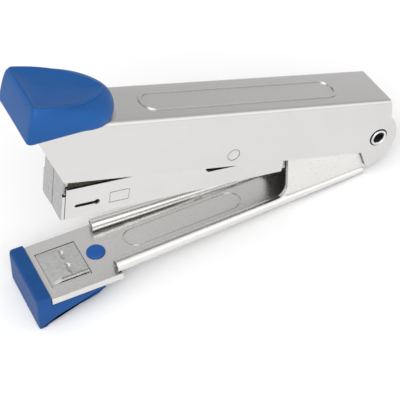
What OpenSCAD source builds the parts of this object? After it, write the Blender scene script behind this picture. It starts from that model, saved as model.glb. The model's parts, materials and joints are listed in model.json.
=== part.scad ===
// Small desk stapler for No. 10 staples: pressed-steel base, magazine and handle on one
// hollow hinge rivet, with a moulded thumb cap and a moulded front shoe.
// Each body is drawn in its own frame: origin on the hinge axis, +x to the front, z up.

/* [Angles between the bodies at rest] */
// Magazine above the base plate
mag_open = 9.2; // [7:0.1:11]
// Handle above the magazine
handle_open = 7.5; // [6:0.1:9]
// Rise of the narrow rear part of the base against its front block
rear_rise = 1.2; // [0:0.1:2]

/* [Base] */
// Hinge axis down to the top of the base plate
base_drop = 11.1; // [10.5:0.1:13]
// Width of the front block beside the anvil plate, on each side
block_side = 3.6; // [3:0.1:6]
// Sheet thickness of the base
base_sheet = 0.9; // [0.6:0.05:1.2]
// Length of the front block ahead of the anvil plate
block_front = 1.6; // [1.2:0.1:4]
// Length of the front block behind the plug's centre
block_back = 2.9; // [2.6:0.1:5]
// Depth of the flange turned down round the front block
block_flange = 1.7; // [1.2:0.1:2.5]
// Radius of the rolled edge where it starts, behind the block
bead_front_r = 1.6; // [1.1:0.05:1.8]
// Rise of the rolled edge above the plate at its front end
bead_lift = 1.3; // [0:0.1:1.4]
// Radius of the rolled edge at its rear end
bead_rear_r = 1; // [0.8:0.05:1.2]
// Hinge axis to the rear end of the rolled edges
bead_rear_x = 3; // [2:0.5:5]
// Hinge axis to the front edge of the hinge ears
ear_front_x = 23.6; // [20:0.1:28]
// Height of the ears above the hinge axis
ear_rise = 5.6; // [4.6:0.1:6.2]

/* [Shoe and anvil] */
// How far the shoe reaches in front of the base plate
shoe_reach = 3.9; // [3.2:0.1:6]
// Shoe bottom below the top of the base plate, at its front edge
shoe_depth = 8; // [6:0.1:10]
// How far the shoe stands out beside the base
shoe_flare = 0.25; // [0:0.05:1]
// Height of the shoe's front lip above the base plate
lip_rise = 0.9; // [0.4:0.1:1.5]
// Radius of the round plug that holds the shoe
plug_r = 2.2; // [1.6:0.1:2.8]
// Width of the anvil plate beside the staple, on each side
anvil_side = 0.85; // [0.5:0.05:1.5]
// Length of the anvil plate
anvil_len = 9; // [7.5:0.1:12]

/* [Magazine] */
// Hinge axis to the front face of the magazine
mag_len = 78.6; // [65:0.1:96]
// Sheet thickness of the magazine
mag_sheet = 0.6; // [0.4:0.05:0.7]
// Bottom of the magazine below the hinge axis
mag_below = 5.15; // [4.9:0.05:5.6]
// Top edge of the magazine walls above the hinge axis
mag_above = 2.85; // [2:0.05:3.5]
// Height of the front flanges above the hinge axis
flange_rise = 6.4; // [4:0.1:7]
// Clearance between the magazine arms and the ears of the base
arm_gap = 0.25; // [0.15:0.05:0.4]
// Outer width of a staple across its crown
staple_w = 8.9; // [7.4:0.1:13]
// Wire size of a staple
staple_wire = 0.5; // [0.4:0.05:0.7]
// Side clearance of the staples in the magazine
staple_gap = 0.35; // [0.2:0.05:0.6]
// Staples left in the strip
staple_count = 30; // [10:1:50]

/* [Pusher] */
// Length of the pusher
pusher_len = 5.4; // [4:0.1:8]
// Radius of the guide rod
rod_r = 0.75; // [0.6:0.05:0.9]
// Wire radius of the pusher spring
spring_wire_r = 0.2; // [0.15:0.01:0.25]
// Number of turns in the pusher spring
spring_turns = 11; // [6:1:16]

/* [Handle] */
// Side clearance between the magazine and the handle
handle_gap = 0.7; // [0.5:0.05:1]
// Top of the handle above the hinge axis
handle_rise = 10.1; // [9:0.1:12]
// Lower edge of the handle below the hinge axis
handle_skirt = 4.1; // [3:0.1:5]
// How far the handle's lower front corner reaches past the magazine
handle_reach = 0.6; // [0.5:0.1:3]
// Sheet thickness of the handle
handle_sheet = 0.8; // [0.6:0.05:1]
// Inner radius of the handle's top bends
handle_bend_r = 0.4; // [0.2:0.05:1]
// Height of the lobe's lowest corner above the base plate, with the handle level with it
lobe_lift = 2.5; // [2:0.1:3.5]
// Thickness of the driver blade
driver_t = 0.5; // [0.4:0.05:0.6]

/* [Cap] */
// Thickness of the cap's side walls
cap_wall = 1.9; // [1.5:0.1:3]
// Length of the thumb cap
cap_len = 20.8; // [17:0.1:24]
// Height of the cap's front edge above the handle top
cap_rise = 5.7; // [5:0.1:9]

/* [Hinge rivet] */
// Outer radius of the hollow rivet
rivet_r = 1.75; // [1.45:0.05:2.1]
// Wall of the hollow rivet
rivet_wall = 0.35; // [0.25:0.05:0.7]
// Wall of the bushes that the handle turns on
bush_wall = 0.5; // [0.3:0.05:0.8]
// How far the rivet stands out of the handle's sides
rivet_proud = 0.4; // [0.2:0.05:0.6]

/* [Clearances] */
// Radial running clearance at the hinge and on the guide rod
run_gap = 0.06; // [0.03:0.01:0.1]
// Gap between pieces that are fastened together
seat_gap = 0.03; // [0.02:0.01:0.05]
// Side clearance between moving sheets
side_gap = 0.25; // [0.15:0.05:0.3]

/* [Hidden] */
$fn = 64;
EPS = 0.01;
HULL_FN = 28;
FAR = 200;

// Across the stapler, from the staples outwards to the handle and back in to the arms
mag_in = staple_w / 2 + staple_gap;
mag_out = mag_in + mag_sheet;
handle_in = mag_out + handle_gap;
handle_w = 2 * (handle_in + handle_sheet);
ear_out = handle_in - side_gap;
ear_in = ear_out - base_sheet;
arm_out = ear_in - arm_gap;
arm_sheet = 0.7;
arm_in = arm_out - arm_sheet;
bush_r = rivet_r + seat_gap + bush_wall;
bush_out = handle_in + handle_sheet / 2;
rivet_half = handle_w / 2 + rivet_proud;

// Along the magazine
floor_top = mag_sheet - mag_below;
flange_back = mag_len - mag_sheet;
driver_out_r = flange_back - 0.15;
driver_in_r = driver_out_r - driver_t;
strip_front = driver_in_r - 0.3;
rail_front = strip_front - 0.5;
crown_z = floor_top + 4.6;
rail_out = staple_w / 2 - staple_wire - 0.1;
rail_sheet = 0.6;
rail_in = rail_out - rail_sheet;
rail_top = crown_z - 0.05;
wall_rear = ear_front_x + 1;
floor_rear = wall_rear + 1.4;
arm_front = wall_rear + 8;
rail_rear = arm_front + 0.1;
bracket_t = 0.8;
bracket_rear = rail_rear + 0.1;
rod_z = floor_top + 2.65;
rail_rivet_xs = [rail_rear + 9, rail_front - 16.4];
strip_rear = strip_front - staple_count * (staple_wire + 0.01);
pusher_front = strip_rear - 0.1;
pusher_rear = pusher_front - pusher_len;
spring_rear = bracket_rear + bracket_t + 0.1;
spring_closed = 1 + spring_turns * 2 * spring_wire_r * 1.15;
pusher_travel = pusher_rear - spring_rear - spring_closed;

// Anvil where the driver's arc meets the base plate, and the block round it
anvil_x = sqrt(pow(driver_in_r + driver_t / 2, 2) - pow(base_drop, 2));
anvil_back = 3.4;
anvil_rear = anvil_x - anvil_back;
anvil_w = staple_w + 2 * anvil_side;
anvil_window_gap = 0.3;
base_w = anvil_w + 2 * block_side;
base_len = anvil_rear + anvil_len + block_front;
plug_x = anvil_rear - anvil_window_gap - 1 - plug_r;
block_rear = plug_x - block_back;

// Base: the rolled edges carry the rear, the shoe carries the front
bead_y_front = base_w / 2 - bead_front_r - 0.1;
bead_y_rear = ear_out - 0.4;
bead_knee_x = ear_front_x;
block_bottom = -base_drop - block_flange;
panel_rear = ear_front_x + 9.4 - block_rear;
shoe_front = base_len + shoe_reach;
shoe_w = base_w + 2 * shoe_flare;
shoe_rear = block_rear + 4.3;
shoe_bottom = -base_drop - shoe_depth;
function rear_z(x) = (block_rear - x) * sin(rear_rise) - base_drop;
bead_foot_z = rear_z(bead_rear_x) - bead_rear_r;
base_pitch = atan((bead_foot_z - shoe_bottom) / (shoe_front - bead_rear_x));
mag_pitch = base_pitch + mag_open;
handle_pitch = mag_pitch + handle_open;

// Handle outline
front_slope = 0.7;
handle_len = mag_len + handle_reach;
handle_front = handle_len + front_slope * (handle_rise + handle_skirt) - 1;
lobe_c = [2.8, -1];
lobe_step = [[3.4, -handle_skirt], [0.3, lobe_lift - base_drop]];
lobe_r = norm(lobe_c - lobe_step[1]);
lobe_top = lobe_c[1] + lobe_r - 1.4;
top_rear_x = -0.2;

// Driver rivets, under the cap
driver_rivet_r = 0.9;
driver_head_r = 1.5;
driver_rivet_front = sqrt(pow(driver_in_r, 2) - pow(handle_rise, 2)) - driver_head_r - 0.3;
driver_rivet_xs = [driver_rivet_front - 3.1, driver_rivet_front];

// Cap
cap_w = handle_w + 2 * cap_wall;
cap_front = handle_front + 1.7;
cap_rear = cap_front - cap_len;
cap_round_x = cap_rear + cap_w / 2;
cap_skirt = 2.6;
cap_pocket = 0.06;

// Plain bead on the handle's top
top_bead_xs = [12, cap_rear - 7];
top_bead_r = handle_w / 4;

// Placing in the part's frame: bottom centre of the whole object at the origin
hinge_z = -shoe_front * sin(base_pitch) - shoe_bottom * cos(base_pitch);
front_reach = shoe_front * cos(base_pitch) - shoe_bottom * sin(base_pitch);
rear_reach = lobe_r - lobe_c[0] * cos(handle_pitch) + lobe_c[1] * sin(handle_pitch);
hinge_x = (front_reach - rear_reach) / 2;

module place(pitch) {
  translate([hinge_x, 0, hinge_z])
    rotate([0, 0, 180])
      rotate([0, -pitch, 0])
        children();
}

module both_sides() {
  children();
  mirror([0, 1, 0])
    children();
}

// A flat x-z outline made into a plate from y0 to y1
module plate_xz(y0, y1) {
  translate([0, y1, 0])
    rotate([90, 0, 0])
      linear_extrude(y1 - y0)
        children();
}

// A y-z section carried along x
module along_x(x0, x1) {
  translate([x0, 0, 0])
    rotate([90, 0, 90])
      linear_extrude(x1 - x0)
        children();
}

module block(x0, x1, y0, y1, z0, z1) {
  translate([x0, y0, z0])
    cube([x1 - x0, y1 - y0, z1 - z0]);
}

// A round bar or bore across the stapler at (x, z)
module cross_pin(x, z, r, y0, y1) {
  translate([x, y0, z])
    rotate([-90, 0, 0])
      cylinder(r = r, h = y1 - y0);
}

module stadium(x0, x1, r) {
  translate([x0 + r, -r])
    square([x1 - x0 - 2 * r, 2 * r]);
  for (x = [x0 + r, x1 - r])
    translate([x, 0])
      circle(r = r);
}

// A wire of radius r swept along points; ref is an axis the wire never runs along
module wire(path, r, ref, sides = 8) {
  n = len(path);
  rings = [for (i = [0 : n - 1])
    let (a = path[max(i - 1, 0)], b = path[min(i + 1, n - 1)])
    let (t = (b - a) / norm(b - a))
    let (c = cross(t, ref), u = c / norm(c), v = cross(t, u))
    for (k = [0 : sides - 1])
      path[i] + r * (cos(360 * k / sides) * u + sin(360 * k / sides) * v)];
  skin = [for (i = [0 : n - 2], k = [0 : sides - 1], half = [0, 1])
    let (m = (k + 1) % sides, a = i * sides, b = a + sides)
    half == 0 ? [a + k, a + m, b + m] : [a + k, b + m, b + k]];
  first = [for (k = [sides - 1 : -1 : 0]) k];
  last = [for (k = [0 : sides - 1]) (n - 1) * sides + k];
  polyhedron(rings, concat(skin, [first, last]));
}

// Outline points turned up by angle a about the hinge
function turned(x, y, z, a) = [x * cos(a) - z * sin(a), y, x * sin(a) + z * cos(a)];

// ---- base ----

// The narrow rear of the base is drawn in a frame that rises to the rear
module rear_frame() {
  translate([block_rear, 0, -base_drop])
    rotate([0, rear_rise, 0])
      children();
}

// Centre of the rolled edge at x, in the rear frame; it rises ahead of the knee
function bead_point(x) =
  let (t = max(0, (x - bead_knee_x) / (block_rear - bead_knee_x)))
  [x - block_rear, bead_y_rear + t * (bead_y_front - bead_y_rear), t * bead_lift];

function bead_r(x) = bead_rear_r + (bead_front_r - bead_rear_r)
  * (x - bead_rear_x) / (block_rear - bead_rear_x);

module bead_bar(x0, r0, x1, r1) {
  p = bead_point(x0);
  run = bead_point(x1) - p;
  translate(p)
    rotate([0, acos(run[2] / norm(run)), atan2(run[1], run[0])])
      cylinder(r1 = r0, r2 = r1, h = norm(run));
}

module rolled_edge() {
  knee_r = bead_r(bead_knee_x);
  bead_bar(bead_knee_x, knee_r, block_rear + 1, bead_front_r);
  bead_bar(bead_rear_x, bead_rear_r, bead_knee_x, knee_r);
  translate(bead_point(bead_knee_x))
    sphere(r = knee_r);
}

module ear_outline() {
  fillet = 3.4;
  foot = -base_drop;
  fillet_z = rear_z(ear_front_x) + bead_r(ear_front_x) + fillet - 0.4;
  difference() {
    union() {
      circle(r = 5);
      polygon([[-3, 4], [0, 5], [ear_front_x, ear_rise], [ear_front_x, fillet_z],
        [ear_front_x + fillet, fillet_z - fillet], [ear_front_x + fillet, foot + 0.9],
        [bead_rear_x, rear_z(bead_rear_x)], [-3.5, -3.6]]);
      translate([0, -0.01])
        polygon([[ear_front_x - 1, fillet_z], [ear_front_x + fillet, fillet_z],
          [ear_front_x + fillet, foot + 1.1], [ear_front_x - 1, foot + 1.1]]);
    }
    translate([ear_front_x + fillet, fillet_z])
      circle(r = fillet);
    translate([ear_front_x, fillet_z])
      square([10, 10]);
    circle(r = rivet_r + seat_gap);
  }
}

module base_frame() {
  color("gainsboro")
    place(base_pitch)
      difference() {
        union() {
          // Front block with its turned-down flange
          difference() {
            block(block_rear, base_len, -base_w / 2, base_w / 2, block_bottom, -base_drop);
            block(block_rear - 1, base_len - base_sheet, base_sheet - base_w / 2,
              base_w / 2 - base_sheet, block_bottom - 1, -base_drop - base_sheet);
          }
          // Narrow rear plate between the rolled edges
          rear_frame()
            translate([0, 0, -base_sheet])
              linear_extrude(base_sheet)
                polygon([[EPS, -bead_y_front], [EPS, bead_y_front],
                  [bead_knee_x - block_rear, bead_y_rear], [bead_rear_x + 1 - block_rear, bead_y_rear],
                  [bead_rear_x + 1 - block_rear, -bead_y_rear],
                  [bead_knee_x - block_rear, -bead_y_rear]]);
          both_sides() {
            rear_frame()
              rolled_edge();
            plate_xz(ear_in, ear_out)
              ear_outline();
          }
        }
        // Hollow front ends of the rolled edges
        both_sides()
          rear_frame()
            bead_bar(block_rear - 14, 0.4, block_rear + 1.5, bead_front_r - 0.45);
        // Anvil window and plug hole
        block(anvil_rear - anvil_window_gap, anvil_rear + anvil_len + anvil_window_gap,
          -anvil_w / 2 - anvil_window_gap, anvil_w / 2 + anvil_window_gap,
          -base_drop - 0.6, 1 - base_drop);
        translate([plug_x, 0, -base_drop - 3])
          cylinder(r = plug_r - 0.5 + seat_gap, h = 6);
        // Long shallow panel pressed into the rear plate
        rear_frame()
          translate([0, 0, -0.15])
            linear_extrude(1)
              difference() {
                stadium(panel_rear, -4, 3.1);
                stadium(panel_rear + 0.6, -4.6, 2.5);
              }
      }
}

module anvil_plate() {
  groove_r = 0.9;
  z = -base_drop - 0.6;
  color("silver")
    place(base_pitch)
      difference() {
        union() {
          block(anvil_rear, anvil_rear + anvil_len, -anvil_w / 2, anvil_w / 2, z, z + 0.45);
          block(anvil_rear + 1, anvil_rear + anvil_len - 1.6, 1 - anvil_w / 2, anvil_w / 2 - 1,
            z, z + 0.85);
        }
        // Two clinching grooves, one for each leg
        for (s = [-1, 1])
          translate([anvil_x, s * staple_w / 4, z + 1.25])
            rotate([90, 0, 0])
              cylinder(r = groove_r, h = staple_w / 2 - 0.6, center = true);
      }
}

// Side view of the shoe: front lip, flat land on the table, arched underside
module shoe_outline() {
  land = 3.4;
  land_z = shoe_bottom + land * tan(base_pitch);
  arch = block_bottom - land_z;
  polygon([[shoe_front - 1.2, lip_rise - base_drop], [shoe_front - 0.4, lip_rise - base_drop - 0.3],
    [shoe_front - 0.1, lip_rise - base_drop - 1.2], [shoe_front, shoe_bottom],
    [shoe_front - land, land_z], [shoe_front - land - 1, land_z + 0.22 * arch],
    [shoe_front - land - 2.8, land_z + 0.36 * arch], [shoe_rear + 8, land_z + 0.49 * arch],
    [shoe_rear + 5, land_z + 0.56 * arch], [shoe_rear + 2, land_z + 0.72 * arch],
    [shoe_rear, land_z + 0.97 * arch], [shoe_rear, -base_drop], [base_len, lip_rise - base_drop]]);
}

// The shoe seen from above, with round front corners
module shoe_plan() {
  corner = 1.2;
  translate([shoe_rear - 1, -shoe_w / 2])
    square([shoe_front - shoe_rear + 1 - corner, shoe_w]);
  for (s = [-1, 1])
    translate([shoe_front - corner, s * (shoe_w / 2 - corner)])
      circle(r = corner);
  translate([shoe_rear - 1, corner - shoe_w / 2])
    square([shoe_front - shoe_rear + 1, shoe_w - 2 * corner]);
}

module base_shoe() {
  color("royalblue")
    place(base_pitch)
      difference() {
        union() {
          difference() {
            intersection() {
              plate_xz(-shoe_w / 2 - 1, shoe_w / 2 + 1)
                shoe_outline();
              translate([0, 0, shoe_bottom - 1])
                linear_extrude(shoe_depth + lip_rise + 2)
                  shoe_plan();
            }
            // Seat of the front block, open at both sides
            block(shoe_rear - 1, base_len + seat_gap, -FAR, FAR, block_bottom - seat_gap, FAR);
          }
          // Tongue under the plate that the plug holds
          block(plug_x - 2.5, plug_x + 8, -4.6, 4.6, block_bottom - 0.7,
            -base_drop - base_sheet - seat_gap);
        }
        // Hole for the plug's stem
        translate([plug_x, 0, shoe_bottom])
          cylinder(r = plug_r - 0.9 + seat_gap, h = shoe_depth);
      }
}

module shoe_plug() {
  color("mediumblue")
    place(base_pitch)
      translate([plug_x, 0, -base_drop]) {
        translate([0, 0, seat_gap])
          cylinder(r1 = plug_r, r2 = plug_r - 0.25, h = 0.5);
        translate([0, 0, -2.2])
          cylinder(r = plug_r - 0.9, h = 2.2 + 2 * seat_gap);
        translate([0, 0, -base_sheet])
          cylinder(r = plug_r - 0.5, h = base_sheet + 2 * seat_gap);
      }
}

module hinge_rivet() {
  color("lightgray")
    place(base_pitch)
      difference() {
        cross_pin(0, 0, rivet_r, -rivet_half, rivet_half);
        cross_pin(0, 0, rivet_r - rivet_wall, -rivet_half - 1, rivet_half + 1);
      }
}

module hinge_bushes() {
  color("dimgray")
    place(base_pitch)
      both_sides()
        difference() {
          cross_pin(0, 0, bush_r, ear_out + 0.02, bush_out);
          cross_pin(0, 0, rivet_r + seat_gap, ear_out - 1, bush_out + 1);
        }
}

// Torsion spring round the rivet: from tip a, round the coil, to tip b
module torsion_spring(a, b, y0, y1, turns) {
  wire_r = 0.35;
  coil_r = rivet_r + 0.35 + wire_r;
  steps = 16;
  start = atan2(a[2], a[0]) - acos(coil_r / norm([a[0], a[2]]));
  stop = atan2(b[2], b[0]) - acos(coil_r / norm([b[0], b[2]]));
  sweep = 360 * turns + (stop - start) + 2 * acos(coil_r / norm([b[0], b[2]]));
  count = ceil(steps * abs(sweep) / 360);
  coil = [for (i = [0 : count])
    let (q = start + sweep * i / count)
    [coil_r * cos(q), y0 + (y1 - y0) * i / count, coil_r * sin(q)]];
  wire(concat([[a[0], y0, a[2]]], coil, [[b[0], y1, b[2]]]), wire_r, [0, 1, 0]);
}

// ---- springs on the hinge ----

spring_inner = 0.35;
spring_outer = arm_in - 0.6;

module return_spring() {
  color("slategray")
    place(base_pitch)
      torsion_spring([14, 0, rear_z(14) + 0.45],
        turned(floor_rear + 0.8, 0, -mag_below - 0.55, mag_open), -spring_outer, -spring_inner, 2);
}

module handle_spring() {
  color("slategray")
    place(mag_pitch)
      torsion_spring([wall_rear + 4, 0, floor_top + 0.45],
        turned(24, 0, handle_rise - handle_sheet - 0.45, handle_open), spring_inner, spring_outer, 2);
}

// ---- magazine ----

module arm_outline() {
  difference() {
    union() {
      circle(r = 3.5);
      polygon([[0, 3.5], [arm_front, mag_above - 0.4], [arm_front, floor_top],
        [floor_rear + 1, -mag_below], [floor_rear, -mag_below], [0, -3.5]]);
    }
    circle(r = rivet_r + run_gap);
  }
}

module magazine_channel() {
  slot_z = -1.95;
  mark = 0.12;
  color("whitesmoke")
    place(mag_pitch) {
      both_sides()
        difference() {
          union() {
            block(wall_rear, mag_len, mag_in, mag_out, -mag_below, mag_above);
            plate_xz(arm_in, arm_out)
              arm_outline();
            // Lap where the arm is joined to the wall
            block(floor_rear + 0.2, arm_front, arm_in, mag_in + EPS, floor_top, mag_above - 0.8);
          }
          // Notch beside the front flange
          block(mag_len - 0.8, mag_len + 1, mag_in - 1, mag_out + 1, 1.2, FAR);
          // Sight window, with a round rear end
          plate_xz(mag_in - 1, mag_out + 1)
            translate([0, slot_z]) {
              stadium(mag_len - 8, mag_len - 2.9, 0.38);
              translate([mag_len - 8, 0])
                circle(r = 0.65);
            }
          // Long slot behind
          plate_xz(mag_in - 1, mag_out + 1)
            translate([0, 0.4])
              stadium(arm_front + 2.2, arm_front + 12.2, 0.95);
          // Plain rectangular mark
          plate_xz(mag_out - mark, mag_out + 1)
            translate([mag_len - 15.5, -3.1])
              difference() {
                square([4.7, 3]);
                translate([0.25, 0.25])
                  square([4.2, 2.5]);
              }
          // Fold line of the front flange
          block(mag_len - 0.75, mag_len - 0.5, mag_out - 0.25, mag_out + 1, -mag_below - 1, 1.3);
        }
      // Floor, open at the front where a staple leaves
      difference() {
        block(floor_rear, rail_front, -mag_in - EPS, mag_in + EPS, -mag_below, floor_top);
        for (x = rail_rivet_xs)
          translate([x, 0, -mag_below - 1])
            cylinder(r = 0.9 + seat_gap, h = 3);
      }
      // Front flanges, folded in from both walls
      both_sides()
        along_x(flange_back, mag_len)
          polygon([[0.12, -mag_below], [mag_out - 1, -mag_below - 0.3], [mag_out, -mag_below],
            [mag_out, 1.2], [mag_in + 0.1, 1.2], [mag_in + 0.1, flange_rise - 0.4],
            [mag_in - 0.4, flange_rise], [0.12, flange_rise]]);
    }
}

module staple_rail() {
  color("silver")
    place(mag_pitch)
      difference() {
        block(rail_rear, rail_front, -rail_out, rail_out, floor_top, rail_top);
        block(rail_rear - 1, rail_front - rail_sheet, -rail_in, rail_in, floor_top + rail_sheet, FAR);
        translate([rail_front - 2, 0, rod_z])
          rotate([0, 90, 0])
            cylinder(r = rod_r + seat_gap, h = 4);
        for (x = rail_rivet_xs)
          translate([x, 0, floor_top - 1])
            cylinder(r = 0.9 + seat_gap, h = 3);
      }
}

module rail_rivets() {
  color("darkgray")
    place(mag_pitch)
      for (x = rail_rivet_xs)
        translate([x, 0, 0]) {
          translate([0, 0, -mag_below - 0.35])
            cylinder(r1 = 1.2, r2 = 1.6, h = 0.35 - seat_gap);
          translate([0, 0, -mag_below - 0.1])
            cylinder(r = 0.9, h = mag_sheet + rail_sheet + 0.2);
          translate([0, 0, floor_top + rail_sheet + seat_gap])
            cylinder(r1 = 1.6, r2 = 1.3, h = 0.25);
        }
}

module guide_rod() {
  color("lightgray")
    place(mag_pitch)
      translate([0, 0, rod_z])
        rotate([0, 90, 0]) {
          translate([0, 0, bracket_rear - 0.7])
            cylinder(r = rod_r + 0.5, h = 0.7 - seat_gap);
          translate([0, 0, bracket_rear - 0.2])
            cylinder(r = rod_r, h = rail_front - bracket_rear + 0.2);
        }
}

module rod_bracket() {
  color("silver")
    place(mag_pitch)
      difference() {
        union() {
          block(bracket_rear, bracket_rear + bracket_t, seat_gap - rail_in, rail_in - seat_gap,
            floor_top + rail_sheet + seat_gap, rail_top - 0.4);
          block(bracket_rear, bracket_rear + 4, seat_gap - rail_in, rail_in - seat_gap,
            floor_top + rail_sheet + seat_gap, floor_top + rail_sheet + 0.35);
        }
        translate([bracket_rear - 1, 0, rod_z])
          rotate([0, 90, 0])
            cylinder(r = rod_r + seat_gap, h = 6);
      }
}

module staple_strip() {
  leg_in = staple_w / 2 - staple_wire;
  color("khaki")
    place(mag_pitch)
      difference() {
        block(strip_rear, strip_front, -staple_w / 2, staple_w / 2, floor_top + 0.1,
          crown_z + staple_wire);
        block(strip_rear - 1, strip_front + 1, -leg_in, leg_in, floor_top - 1, crown_z);
      }
}

// ---- pusher ----

module pusher() {
  color("silver")
    place(mag_pitch)
      difference() {
        union() {
          // Slider inside the rail, with a bridge over the rail walls and a flap outside each
          block(pusher_rear, pusher_front, -rail_in + 0.15, rail_in - 0.15, floor_top + rail_sheet + 0.4,
            crown_z + 0.7);
          block(pusher_rear, pusher_front, -staple_w / 2, staple_w / 2, crown_z + 0.1, crown_z + 0.7);
          both_sides()
            block(pusher_rear, pusher_front, rail_out + 0.12, staple_w / 2, floor_top + 0.3,
              crown_z + 0.7);
        }
        translate([pusher_rear - 1, 0, rod_z])
          rotate([0, 90, 0])
            cylinder(r = rod_r + run_gap, h = pusher_len + 2);
      }
}

module pusher_spring() {
  coil_r = rod_r + 0.35 + spring_wire_r;
  steps = 14;
  x0 = spring_rear + spring_wire_r;
  x1 = pusher_rear - 0.05 - spring_wire_r;
  count = spring_turns * steps;
  color("slategray")
    place(mag_pitch)
      wire([for (i = [0 : count])
        [x0 + (x1 - x0) * i / count, coil_r * cos(360 * i / steps),
          rod_z + coil_r * sin(360 * i / steps)]],
        spring_wire_r, [1, 0, 0], 6);
}

// ---- handle ----

module handle_outline() {
  polygon([[top_rear_x, handle_rise], [handle_front, handle_rise],
    [handle_front, handle_rise - 1.4], [handle_len, -handle_skirt],
    [lobe_step[0][0] - EPS, -handle_skirt], [lobe_step[0][0] - EPS, 0], [-1.7, lobe_top - 0.1]]);
  intersection() {
    translate(lobe_c)
      circle(r = lobe_r);
    polygon([[-FAR, lobe_top], [lobe_step[0][0], lobe_top], lobe_step[0], lobe_step[1],
      [lobe_step[1][0], -FAR], [-FAR, -FAR]]);
  }
}

module bent_section(half_w, top, bend_r) {
  translate([-half_w, -FAR])
    square([2 * half_w, FAR + top - bend_r]);
  translate([bend_r - half_w, -FAR])
    square([2 * (half_w - bend_r), FAR + top]);
  for (s = [-1, 1])
    translate([s * (half_w - bend_r), top - bend_r])
      circle(r = bend_r);
}

module handle_cover() {
  half = handle_w / 2;
  dimple_r = 1.5;
  dimple_deep = 0.4;
  dimple_ball = (dimple_r * dimple_r + dimple_deep * dimple_deep) / (2 * dimple_deep);
  color("gainsboro")
    place(handle_pitch)
      difference() {
        union() {
          intersection() {
            along_x(-20, handle_front + 5)
              difference() {
                bent_section(half, handle_rise, handle_bend_r + handle_sheet);
                bent_section(handle_in, handle_rise - handle_sheet, handle_bend_r);
              }
            plate_xz(-half - 1, half + 1)
              handle_outline();
          }
          // Plain raised bead pressed into the top
          translate([0, 0, handle_rise - EPS])
            linear_extrude(0.25 + EPS)
              difference() {
                stadium(top_bead_xs[0], top_bead_xs[1], top_bead_r);
                stadium(top_bead_xs[0] + 0.7, top_bead_xs[1] - 0.7, top_bead_r - 0.7);
              }
        }
        both_sides() {
          cross_pin(0, 0, bush_r + run_gap, handle_in - 1, half + 1);
          translate([39.4, half - dimple_deep + dimple_ball, -1])
            sphere(r = dimple_ball);
        }
        for (x = driver_rivet_xs)
          translate([x, 0, handle_rise - 3])
            cylinder(r = driver_rivet_r + seat_gap, h = 6);
      }
}

module handle_cap() {
  half = cap_w / 2;
  low = handle_rise - cap_skirt;
  top = handle_rise + cap_rise;
  edge = 0.8;
  rim_in = 1;
  color("royalblue")
    place(handle_pitch)
      difference() {
        hull() {
          for (s = [-1, 1]) {
            translate([cap_front - edge, s * (half - edge), low + edge])
              sphere(r = edge, $fn = HULL_FN);
            translate([cap_front - edge - 0.4, s * (half - rim_in - edge), top - edge])
              sphere(r = edge, $fn = HULL_FN);
          }
          translate([cap_round_x, 0, handle_rise])
            cylinder(r = half, h = cap_rise / 3, $fn = 48);
          translate([cap_round_x - 1.5, 0, handle_rise])
            cylinder(r = half - 4, h = cap_rise - 0.6, $fn = 48);
        }
        // Pocket over the front of the handle
        block(-FAR, handle_front + cap_pocket, -handle_w / 2 - cap_pocket, handle_w / 2 + cap_pocket,
          -FAR, handle_rise + cap_pocket);
        // Cored hollow above it, and a shallow one over the driver rivets
        block(driver_rivet_xs[1], handle_front - 1.2, -4.6, 4.6, handle_rise - 1, handle_rise + 3.4);
        block(driver_rivet_xs[0] - driver_head_r - 0.1, driver_rivet_xs[1] + 1, -2, 2,
          handle_rise - 1, handle_rise + 0.8);
      }
}

module driver_blade() {
  half = staple_w / 2 + 0.05;
  tip_angle = asin((crown_z + staple_wire + 0.9) / driver_out_r) - handle_open;
  tip_z = driver_out_r * sin(tip_angle);
  top = handle_rise - handle_sheet - seat_gap;
  color("silver")
    place(handle_pitch) {
      plate_xz(-half, half)
        intersection() {
          difference() {
            circle(r = driver_out_r, $fn = 360);
            circle(r = driver_in_r, $fn = 360);
          }
          translate([driver_in_r - 4, tip_z])
            square([8, top - tip_z]);
        }
      // Foot bent back under the handle top
      difference() {
        block(driver_rivet_xs[0] - 4.6, sqrt(pow(driver_in_r, 2) - pow(top, 2)) + 0.2, -half, half,
          top - driver_t, top);
        for (x = driver_rivet_xs)
          translate([x, 0, top - 2])
            cylinder(r = driver_rivet_r + seat_gap, h = 4);
      }
    }
}

module driver_rivets() {
  top = handle_rise - handle_sheet - seat_gap - driver_t;
  color("darkgray")
    place(handle_pitch)
      for (x = driver_rivet_xs)
        translate([x, 0, 0]) {
          translate([0, 0, top - 0.6])
            cylinder(r1 = driver_head_r - 0.3, r2 = driver_head_r, h = 0.6 - seat_gap);
          translate([0, 0, top - 0.3])
            cylinder(r = driver_rivet_r, h = handle_rise - top + 0.5);
          translate([0, 0, handle_rise + seat_gap])
            cylinder(r1 = driver_head_r, r2 = driver_head_r - 0.4, h = 0.6);
        }
}

base_frame();
anvil_plate();
base_shoe();
shoe_plug();
hinge_rivet();
hinge_bushes();
return_spring();
magazine_channel();
staple_rail();
rail_rivets();
guide_rod();
rod_bracket();
staple_strip();
pusher();
pusher_spring();
handle_cover();
handle_cap();
driver_blade();
driver_rivets();
handle_spring();
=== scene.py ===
"""Looks for a small desk stapler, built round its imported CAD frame. Lengths are in metres."""
import json
import math

import bmesh
import bpy
from mathutils import Matrix, Vector


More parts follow.
